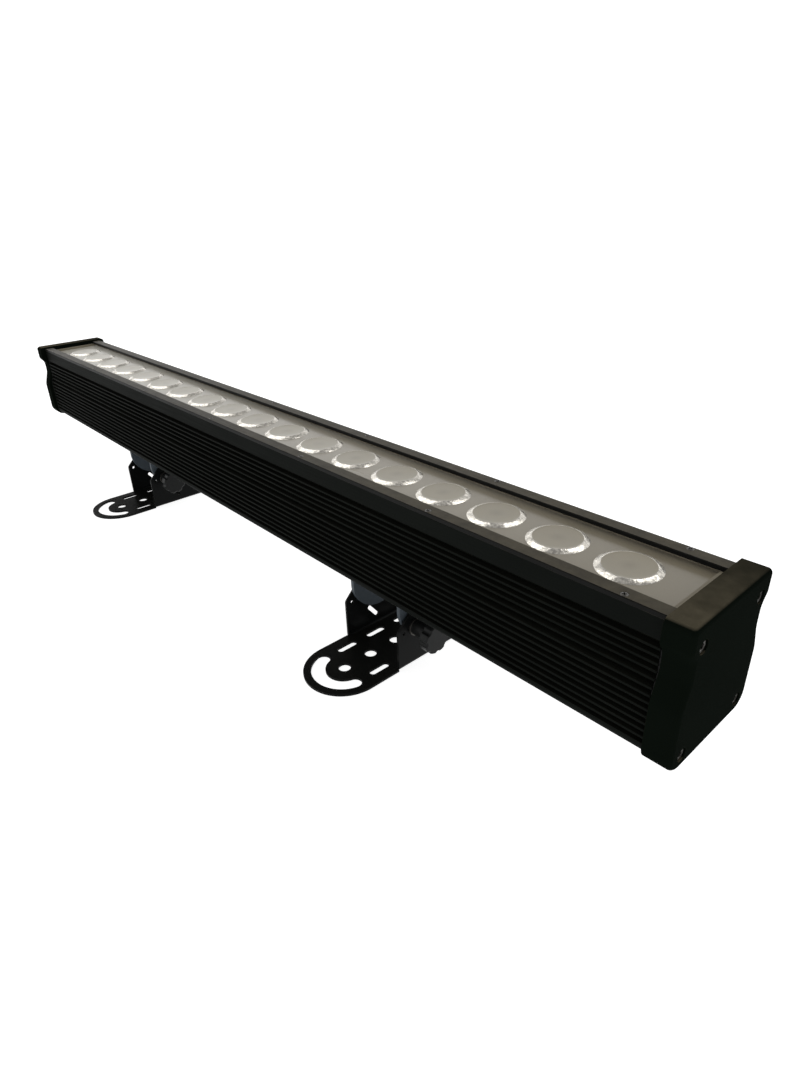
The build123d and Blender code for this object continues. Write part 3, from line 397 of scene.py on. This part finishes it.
def dress(material, *nodes):
    """Give one finish to CAD nodes."""
    for name in nodes:
        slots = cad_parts[name].data.materials
        slots.clear()
        slots.append(material)


def both(*stems):
    """Node names of both ends or feet."""
    return [f"{stem}_{side}" for stem in stems for side in SIDES]


def deselect():
    """Leave edit mode with nothing selected."""
    if bpy.context.object and bpy.context.object.mode == "EDIT":
        bpy.ops.object.mode_set(mode="OBJECT")
    bpy.ops.object.select_all(action="DESELECT")


def pick(piece):
    """Select one piece alone and make it the active one."""
    deselect()
    piece.select_set(True)
    bpy.context.view_layer.objects.active = piece


def turned(name, profile, sides):
    """Turn a profile of (radius, height) pairs about Z, ring by ring, closed at both ends."""
    deselect()
    radius, height = profile[0]
    bpy.ops.mesh.primitive_circle_add(vertices=sides, radius=radius, location=(0, 0, height),
                                      fill_type="NGON")
    piece = bpy.context.object
    piece.name = name
    bpy.ops.object.transform_apply(location=True)
    bpy.ops.object.mode_set(mode="EDIT")
    bpy.ops.mesh.select_all(action="SELECT")
    for last, step in zip(profile, profile[1:]):
        rise = step[1] - last[1]
        scale = step[0] / last[0]
        bpy.ops.mesh.extrude_region_move(TRANSFORM_OT_translate={"value": (0, 0, rise)})
        bpy.ops.transform.resize(value=(scale, scale, 1), center_override=(0, 0, step[1]))
    bpy.ops.mesh.select_all(action="SELECT")
    bpy.ops.mesh.remove_doubles(threshold=MERGE_DISTANCE)
    bpy.ops.mesh.normals_make_consistent(inside=False)
    bpy.ops.object.mode_set(mode="OBJECT")
    return piece


def cut_away(piece, cutters):
    """Cut other pieces out of one and delete them."""
    for cutter in cutters:
        pick(piece)
        modifier = piece.modifiers.new("cut", "BOOLEAN")
        modifier.operation = "DIFFERENCE"
        modifier.object = cutter
        modifier.solver = "EXACT"
        bpy.ops.object.modifier_apply(modifier=modifier.name)
        bpy.data.objects.remove(cutter)


def twin_at(piece, place):
    """A copy of a piece with its own mesh, moved to a place that is given as a matrix."""
    twin = piece.copy()
    twin.data = piece.data.copy()
    twin.data.transform(place)
    bpy.context.scene.collection.objects.link(twin)
    return twin


def copies(piece, places):
    """One mesh of a piece at many places; the pattern itself goes."""
    name = piece.name
    twins = [twin_at(piece, place) for place in places]
    bpy.data.objects.remove(piece)
    pick(twins[0])
    for twin in twins:
        twin.select_set(True)
    bpy.ops.object.join()
    bpy.context.object.name = name
    return bpy.context.object


def smooth(piece, angle=SMOOTH_ANGLE):
    """Smooth shading up to an angle."""
    pick(piece)
    bpy.ops.object.shade_smooth_by_angle(angle=angle)


def hand_over(piece, body, slot, *nodes):
    """Tie a finished piece to its body and hide the CAD nodes that it stands for; the slot is not used."""
    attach(piece, body)
    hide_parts(*nodes)


class BATTEN_OT_dress_bar(bpy.types.Operator):
    """Finish the housing, end caps, gaskets, strips, panel and gland"""
    bl_idname = "batten.dress_bar"
    bl_label = "Dress the bar"

    def execute(self, context):
        colours = context.scene.batten_colours
        # The fin tops get a faint lighter tone that is a painted highlight as well as dust, and the edges a
        # painted highlight as well as wear
        housing = coated_finish("black_anodised", colours.housing, roughness=0.60, specular=0.02,
                                grain=700.0, stretch=(0.02, 1.0, 1.0), dust_and_sheen=colours.dust_and_sheen, dust_and_sheen_share=0.05,
                                wear_and_edge_highlight=shade(colours.dust_and_sheen, 0.5), wear_and_highlight_share=0.25)
        # The cap tops are lightened strongly: a painted sheen of reflected light as well as dust, strongest
        # at the front and fading towards the back; the lighter edges are partly a painted highlight
        cap = coated_finish("cast_black_paint", colours.cap, roughness=0.66, specular=0.001, grain=650.0,
                            depth=0.05 * MM, dust_and_sheen=colours.dust_and_sheen, dust_and_sheen_share=0.95,
                            painted_sheen_fade=dict(axis="Y", start=-0.015, end=0.065, at_start=1.0, at_end=0.30),
                            wear_and_edge_highlight=shade(colours.dust_and_sheen, 0.6), wear_and_highlight_share=0.25)
        # The strip tops are lightened strongly: a painted sheen of reflected light as well as dust, a little
        # stronger towards the right-hand end; the lighter edges are partly a painted highlight
        strip = coated_finish("black_strip", colours.strip, roughness=0.40, specular=0.05, grain=800.0,
                              stretch=(0.05, 1.0, 1.0), dust_and_sheen=colours.dust_and_sheen, dust_and_sheen_share=0.80,
                              painted_sheen_fade=dict(axis="X", start=0.35, end=0.0, at_start=1.0, at_end=0.7),
                              wear_and_edge_highlight=shade(colours.dust_and_sheen, 1.2), wear_and_highlight_share=0.3)
        seal = coated_finish("grey_silicone", colours.seal, roughness=0.55, specular=0.1, grain=1400.0)
        gasket = coated_finish("black_rubber", colours.gasket, roughness=0.62, specular=0.1, grain=1400.0)
        gland = coated_finish("black_nylon", colours.gland, roughness=0.38, specular=0.2, grain=1200.0,
                              wear_and_edge_highlight=shade(colours.gland, 3.0), wear_and_highlight_share=0.4)
        dress(housing, "housing")
        dress(cap, *both("end_cap"))
        dress(strip, "clamp_strip_front", "clamp_strip_back")
        dress(panel_finish(colours), "lens_plate")
        dress(seal, "plate_seal")
        dress(gasket, *both("end_gasket"))
        dress(gland, "gland_body", "gland_nut", "gland_locknut")
        return {"FINISHED"}


class BATTEN_OT_dress_feet(bpy.types.Operator):
    """Finish the feet, saddles, knobs and their fittings"""
    bl_idname = "batten.dress_feet"
    bl_label = "Dress the feet"

    def execute(self, context):
        colours = context.scene.batten_colours
        foot = coated_finish("black_powder_coat", colours.foot, roughness=0.34, specular=0.05, grain=1100.0,
                             depth=0.03 * MM, dust_and_sheen=colours.dust_and_sheen, dust_and_sheen_share=0.03,
                             wear_and_edge_highlight=shade(colours.dust_and_sheen, 0.5), wear_and_highlight_share=0.25)
        saddle = coated_finish("grey_saddle_coat", colours.saddle, roughness=0.5, specular=0.2, grain=900.0,
                               depth=0.03 * MM, wear_and_edge_highlight=shade(colours.saddle, 1.8), wear_and_highlight_share=0.4)
        knob = coated_finish("black_moulding", colours.knob, roughness=0.36, specular=0.10, grain=1300.0,
                             wear_and_edge_highlight=shade(colours.knob, 3.0), wear_and_highlight_share=0.4, rounding=0.6 * MM)
        zinc = zinc_finish("zinc_plate", colours.bolt)
        dress(foot, *both("foot"))
        dress(saddle, *both("saddle"))
        dress(knob, *both("clamp_knob"))
        dress(zinc, *both("saddle_bolts", "pivot_bolt", "pivot_nut", "pivot_washers"))
        dress(zinc_finish("blackened_clamp", colours.screw), *both("clamp_stud", "clamp_washer"))
        return {"FINISHED"}


class BATTEN_OT_dress_insides(bpy.types.Operator):
    """Finish the boards, emitters, driver, terminal block and inner screws"""
    bl_idname = "batten.dress_insides"
    bl_label = "Dress the insides"

    def execute(self, context):
        colours = context.scene.batten_colours
        dress(coated_finish("white_board", colours.board, roughness=0.35), "led_board_1", "led_board_2")
        dress(coated_finish("phosphor", colours.emitter, roughness=0.5), "led_emitters")
        dress(coated_finish("driver_case", colours.driver, roughness=0.4, metallic=0.3), "driver")
        dress(coated_finish("terminal_nylon", colours.terminal, roughness=0.45), "terminal_block")
        dress(zinc_finish("inner_screw", colours.bolt), "led_board_screws", "driver_screws")
        return {"FINISHED"}


class BATTEN_OT_add_lenses(bpy.types.Operator):
    """Model one lens with a rounded, bevelled rim and set a copy in each hole of the panel"""
    bl_idname = "batten.add_lenses"
    bl_label = "Add the lenses"

    def execute(self, context):
        sizes = context.scene.batten_sizes
        colours = context.scene.batten_colours
        low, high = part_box(LENSES[0])
        plate_low, plate_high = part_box("lens_plate")
        radius = (high.x - low.x) / 2
        crest = radius - sizes.lens_bevel
        soft = sizes.lens_round
        lip = radius + sizes.lens_lip
        skirt = plate_low.z - sizes.lens_skirt
        dish = high.z - sizes.lens_dish
        foot_and_skirt = [(sizes.lens_foot, low.z), (radius, skirt), (radius, plate_high.z)]
        bevelled_rim = [
            (lip, plate_high.z + 0.05 * soft), (lip - 0.25 * soft, plate_high.z + 0.25 * soft),
            (crest + soft, high.z - 0.5 * soft), (crest, high.z - 0.1 * soft), (crest - soft, high.z),
        ]
        dished_face = [
            (crest - 2 * soft, high.z - 0.15 * soft), (0.85 * crest, (high.z + dish) / 2),
            (0.55 * crest, dish + 0.1 * sizes.lens_dish), (0.2 * crest, dish),
        ]
        lens = turned("lens", foot_and_skirt + bevelled_rim + dished_face, sizes.lens_sides)
        smooth(lens, LENS_SMOOTH_ANGLE)
        lens.data.materials.append(lens_face_finish(colours))
        lens.data.materials.append(lens_rim_finish(colours))
        for face in lens.data.polygons:
            on_rim = face.center.z > plate_high.z and face.center.xy.length > crest - soft
            face.material_index = int(on_rim)
        for name in LENSES:
            node_low, node_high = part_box(name)
            centre = (node_low + node_high) / 2
            twin = twin_at(lens, Matrix.Translation((centre.x, centre.y, 0)))
            twin.name = name.replace("lens_", "bevelled_lens_")
            hand_over(twin, "light_bar", "lens", name)
        bpy.data.objects.remove(lens)
        return {"FINISHED"}


def strip_screw_radius(low):
    """Head radius of the strip screws, read from the width of the two nearest to one end."""
    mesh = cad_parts["clamp_strip_screws"].data
    ends = [vertex.co.x for vertex in mesh.vertices if vertex.co.x < low.x + END_REACH]
    return (max(ends) - min(ends)) / 2


class BATTEN_OT_add_strip_screws(bpy.types.Operator):
    """Model one domed cross-head screw and set the row of them in both strips"""
    bl_idname = "batten.add_strip_screws"
    bl_label = "Add the strip screws"
    per_strip: IntProperty(name="Screws per strip", description="Screws along each strip", min=2, default=7)

    def execute(self, context):
        low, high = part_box("clamp_strip_screws")
        head = strip_screw_radius(low)
        screw = self.model_screw(context.scene.batten_sizes, head, low.z, high.z)
        finish = zinc_finish("blackened_screw", context.scene.batten_colours.screw, roughness=0.30)
        screw.data.materials.append(finish)
        places = self.row_places(low, high, head)
        hand_over(copies(screw, places), "light_bar", "screw", "clamp_strip_screws")
        return {"FINISHED"}

    def model_screw(self, sizes, head, bottom, top):
        """Screw on the Z axis with a cross recess in its domed head."""
        shank = sizes.strip_screw_shank
        seat = top - sizes.strip_screw_head
        dome = sizes.strip_screw_dome
        profile = [
            (0.5 * shank, bottom), (shank, bottom + shank), (shank, seat), (head, seat),
            (head, top - sizes.strip_screw_edge), (0.94 * head, top), (0.72 * head, top + 0.6 * dome),
            (0.4 * head, top + 0.92 * dome), (0.1 * head, top + dome),
        ]
        screw = turned("strip_screw_set", profile, sizes.strip_screw_sides)
        cutters = []
        for turn in (0, math.pi / 2):
            deselect()
            bpy.ops.mesh.primitive_cube_add(size=1)
            cutter = bpy.context.object
            size = (1.35 * head, sizes.cross_width, 2 * sizes.cross_depth)
            place = Matrix.Translation((0, 0, top + dome)) @ Matrix.Rotation(turn, 4, "Z")
            cutter.data.transform(place @ Matrix.Diagonal((*size, 1)))
            cutters.append(cutter)
        cut_away(screw, cutters)
        smooth(screw)
        return screw

    def row_places(self, low, high, head):
        """Places along the front strip and then the back one, each screw turned by its own angle."""
        first = low.x + head
        pitch = (high.x - low.x - 2 * head) / (self.per_strip - 1)
        places = []
        for row, y in enumerate((low.y + head, high.y - head)):
            for index in range(self.per_strip):
                turn = SCREW_TURN * (index + row * self.per_strip)
                spot = Matrix.Translation((first + index * pitch, y, 0))
                places.append(spot @ Matrix.Rotation(turn, 4, "Z"))
        return places


class BATTEN_OT_add_cap_screws(bpy.types.Operator):
    """Model one socket-head screw and set four of them in each end cap"""
    bl_idname = "batten.add_cap_screws"
    bl_label = "Add the cap screws"

    def execute(self, context):
        low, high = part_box("end_cap_screws")
        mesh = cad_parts["end_cap_screws"].data
        middle = (low + high) / 2
        corner = [vertex.co for vertex in mesh.vertices
                  if vertex.co.x > 0 and vertex.co.y < middle.y and vertex.co.z < middle.z]
        head = (max(point.z for point in corner) - min(point.z for point in corner)) / 2
        tip = min(point.x for point in corner)
        screw = self.model_screw(context.scene.batten_sizes, head, tip, high.x)
        finish = zinc_finish("dark_cap_screw", context.scene.batten_colours.screw, roughness=0.34)
        screw.data.materials.append(finish)
        places = self.corner_places(low, high, head)
        hand_over(copies(screw, places), "light_bar", "screw", "end_cap_screws")
        return {"FINISHED"}

    def model_screw(self, sizes, head, tip, top):
        """Screw on the Z axis with a hexagon socket in its head."""
        shank = sizes.cap_screw_shank
        seat = top - sizes.cap_screw_head
        edge = sizes.cap_screw_edge
        profile = [
            (0.6 * shank, tip), (shank, tip + 0.5 * shank), (shank, seat), (0.97 * head, seat),
            (head, seat + 0.6 * edge), (head, top - edge), (head - 0.3 * edge, top - 0.3 * edge),
            (head - edge, top),
        ]
        screw = turned("cap_screw_set", profile, sizes.cap_screw_sides)
        deselect()
        bpy.ops.mesh.primitive_cylinder_add(vertices=6, radius=sizes.socket_across / math.sqrt(3),
                                            depth=2 * sizes.socket_depth, location=(0, 0, top))
        bpy.ops.object.transform_apply(location=True)
        cut_away(screw, [bpy.context.object])
        smooth(screw)
        return screw

    def corner_places(self, low, high, head):
        """Places in the four corners of the right-hand cap and then of the left-hand one."""
        places = []
        for end in (1, -1):
            along = Matrix.Rotation(end * math.pi / 2, 4, "Y")
            for y in (low.y + head, high.y - head):
                for z in (low.z + head, high.z - head):
                    places.append(Matrix.Translation((0, y, z)) @ along)
        return places


class BATTEN_OT_set_stage(bpy.types.Operator):
    """Lay the floor, hang the lights and set up the camera"""
    bl_idname = "batten.set_stage"
    bl_label = "Set the stage"

    def execute(self, context):
        stage = context.scene.batten_stage
        self.lay_floor(stage)
        self.light_sky(context, stage)
        for softbox in SOFTBOXES:
            self.hang_light(*softbox)
        self.place_camera(context, stage)
        context.scene.view_settings.view_transform = "Standard"
        return {"FINISHED"}

    def lay_floor(self, stage):
        """Pale floor with its own soft light, left out of the export."""
        deselect()
        bpy.ops.mesh.primitive_plane_add(size=stage.floor_size)
        floor = bpy.context.object
        floor.name = "studio_floor"
        finish = Finish("pale_floor")
        paper = finish.noise(scale=3.0, detail=4.0)
        tint = finish.mix(paper, shade(stage.floor_colour, 0.98), shade(stage.floor_colour, 1.02))
        finish.set(Base_Color=tint, Roughness=0.75, Specular_IOR_Level=0.1)
        finish.set(Emission_Color=(1.0, 1.0, 1.0), Emission_Strength=stage.floor_glow)
        floor.data.materials.append(finish.material)

    def light_sky(self, context, stage):
        """Sky that fades from a bright horizon to a dim zenith."""
        world = bpy.data.worlds.new("studio_sky")
        world.use_nodes = True
        tree = world.node_tree
        place = tree.nodes.new("ShaderNodeTexCoord")
        axes = tree.nodes.new("ShaderNodeSeparateXYZ")
        ramp = tree.nodes.new("ShaderNodeMapRange")
        mix = tree.nodes.new("ShaderNodeMix")
        mix.data_type = "RGBA"
        ramp.inputs["From Min"].default_value = stage.sky_low
        ramp.inputs["From Max"].default_value = stage.sky_high
        horizon = [stage.horizon_strength * part for part in stage.horizon]
        mix.inputs["A"].default_value = (*horizon, 1.0)
        mix.inputs["B"].default_value = (*stage.zenith, 1.0)
        tree.links.new(place.outputs["Generated"], axes.inputs["Vector"])
        tree.links.new(axes.outputs["Z"], ramp.inputs["Value"])
        tree.links.new(ramp.outputs["Result"], mix.inputs["Factor"])
        tree.links.new(mix.outputs["Result"], tree.nodes["Background"].inputs["Color"])
        context.scene.world = world

    def hang_light(self, name, place, width, height, power):
        """Softbox that is aimed at the middle of the bar."""
        deselect()
        bpy.ops.object.light_add(type="AREA", location=place)
        light = bpy.context.object
        light.name = name
        light.data.shape = "RECTANGLE"
        light.data.size = width
        light.data.size_y = height
        light.data.energy = power
        aim = (CAD_BOX[0] + CAD_BOX[1]) / 2 - Vector(place)
        light.rotation_euler = aim.to_track_quat("-Z", "Y").to_euler()

    def place_camera(self, context, stage):
        """Camera at its place, looking down and rolled as the stage says."""
        turn, rise, roll = stage.camera_turn, stage.camera_rise, stage.camera_roll
        back = Vector((math.sin(turn) * math.cos(rise), -math.cos(turn) * math.cos(rise), math.sin(rise)))
        right = (-back).cross(Vector((0, 0, 1))).normalized()
        up = right.cross(-back)
        rolled_right = math.cos(roll) * right + math.sin(roll) * up
        rolled_up = math.cos(roll) * up - math.sin(roll) * right
        axes = Matrix((rolled_right, rolled_up, back)).transposed()
        deselect()
        bpy.ops.object.camera_add(location=stage.camera_place)
        camera = bpy.context.object
        camera.rotation_euler = axes.to_euler()
        camera.data.sensor_width = SENSOR_WIDTH
        camera.data.lens = stage.camera_lens
        camera.data.clip_start = CLIP_START
        context.scene.camera = camera


OPERATORS = (
    BATTEN_OT_dress_bar,
    BATTEN_OT_dress_feet,
    BATTEN_OT_dress_insides,
    BATTEN_OT_add_lenses,
    BATTEN_OT_add_strip_screws,
    BATTEN_OT_add_cap_screws,
    BATTEN_OT_set_stage,
)


class BATTEN_PT_panel(bpy.types.Panel):
    """Sidebar panel with the sizes, colours and steps"""
    bl_idname = "BATTEN_PT_panel"
    bl_label = "Batten light"
    bl_space_type = "VIEW_3D"
    bl_region_type = "UI"
    bl_category = "Batten light"

    def draw(self, context):
        for group in ("batten_sizes", "batten_colours", "batten_stage"):
            box = self.layout.box()
            settings = getattr(context.scene, group)
            for name in settings.__annotations__:
                box.prop(settings, name)
        for operator in OPERATORS:
            self.layout.operator(operator.bl_idname)


CLASSES = (BattenColours, BattenSizes, BattenStage, *OPERATORS, BATTEN_PT_panel)


def register():
    """Register the classes and hang their settings on the scene."""
    for kind in CLASSES:
        bpy.utils.register_class(kind)
    bpy.types.Scene.batten_colours = PointerProperty(type=BattenColours)
    bpy.types.Scene.batten_sizes = PointerProperty(type=BattenSizes)
    bpy.types.Scene.batten_stage = PointerProperty(type=BattenStage)


def unregister():
    """Take the settings and the classes away again."""
    del bpy.types.Scene.batten_stage
    del bpy.types.Scene.batten_sizes
    del bpy.types.Scene.batten_colours
    for kind in reversed(CLASSES):
        bpy.utils.unregister_class(kind)


def main():
    """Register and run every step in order."""
    register()
    bpy.ops.batten.dress_bar()
    bpy.ops.batten.dress_feet()
    bpy.ops.batten.dress_insides()
    bpy.ops.batten.add_lenses()
    bpy.ops.batten.add_strip_screws()
    bpy.ops.batten.add_cap_screws()
    bpy.ops.batten.set_stage()


if __name__ == "__main__":
    main()
